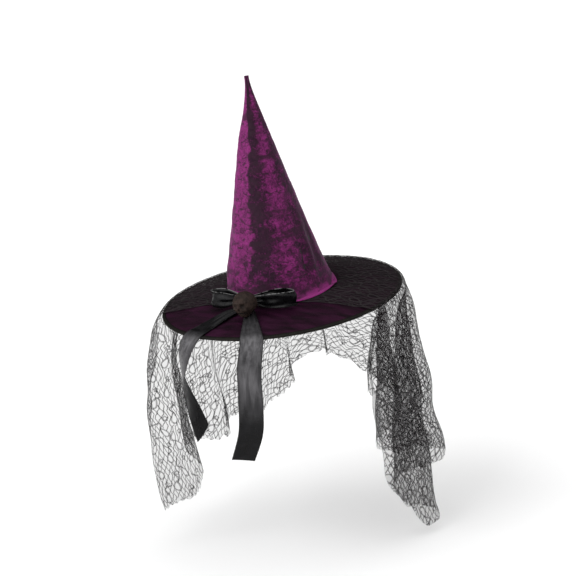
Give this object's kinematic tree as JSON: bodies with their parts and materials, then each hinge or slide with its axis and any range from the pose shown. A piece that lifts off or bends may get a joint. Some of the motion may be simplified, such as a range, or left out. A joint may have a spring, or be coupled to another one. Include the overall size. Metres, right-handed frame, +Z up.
{
  "type": "witch hat",
  "caption": "Pointed witch hat: velvet cone on a round wired brim, lace veil over the brim and down the back, satin bow with hanging tails and a small skull in front.",
  "frame": {"origin": "centre of the head opening, in the plane of the flat ring on the brim's underside", "axes": "+Z up the cone to its tip; -Y to the front, where the bow is; +X to the wearer's left"},
  "size_m": [0.4744, 0.4371, 0.7949],
  "materials": {
    "purple_velvet": "pressed velvet",
    "plum_satin": "satin",
    "buckram": "stiffened, matte",
    "band_cloth": "matte",
    "black_cloth": "matte",
    "binding_braid": "ribbed, slight shine",
    "black_lace": "sheer net with corded lace",
    "black_satin": "satin",
    "edge_wire": "drawn wire",
    "dark_resin": "aged, slight sheen"
  },
  "bodies": {
    "hat": {"crown_velvet": "purple_velvet", "crown_stiffener": "buckram", "sweatband": "band_cloth", "brim_core": "buckram", "brim_satin_top": "plum_satin", "brim_under_cloth": "black_cloth", "brim_edge_wire": "edge_wire", "brim_edge_binding": "binding_braid", "veil_top": "black_lace", "bow_knot": "black_satin", "bow_loop_left": "black_satin", "bow_loop_right": "black_satin", "tail_left_upper": "black_satin", "tail_right_upper": "black_satin", "skull_ornament": "dark_resin", "veil_fall_right": "black_lace", "veil_fall_back_right": "black_lace", "veil_fall_back": "black_lace", "veil_fall_back_left": "black_lace", "veil_fall_left": "black_lace"},
    "left_tail": {"tail_left_fall": "black_satin"},
    "right_tail": {"tail_right_fall": "black_satin"}
  },
  "joints": [
    {"name": "left_tail_swing", "type": "hinge", "parent": "hat", "child": "left_tail", "pos_m": [-0.05664, -0.19494, -0.0123], "axis": [-0.9603, 0.279, 0], "range_deg": [-12, 75]},
    {"name": "right_tail_swing", "type": "hinge", "parent": "hat", "child": "right_tail", "pos_m": [0.05527, -0.19533, -0.0123], "axis": [-0.9622, -0.2723, 0], "range_deg": [-12, 75]}
  ]
}
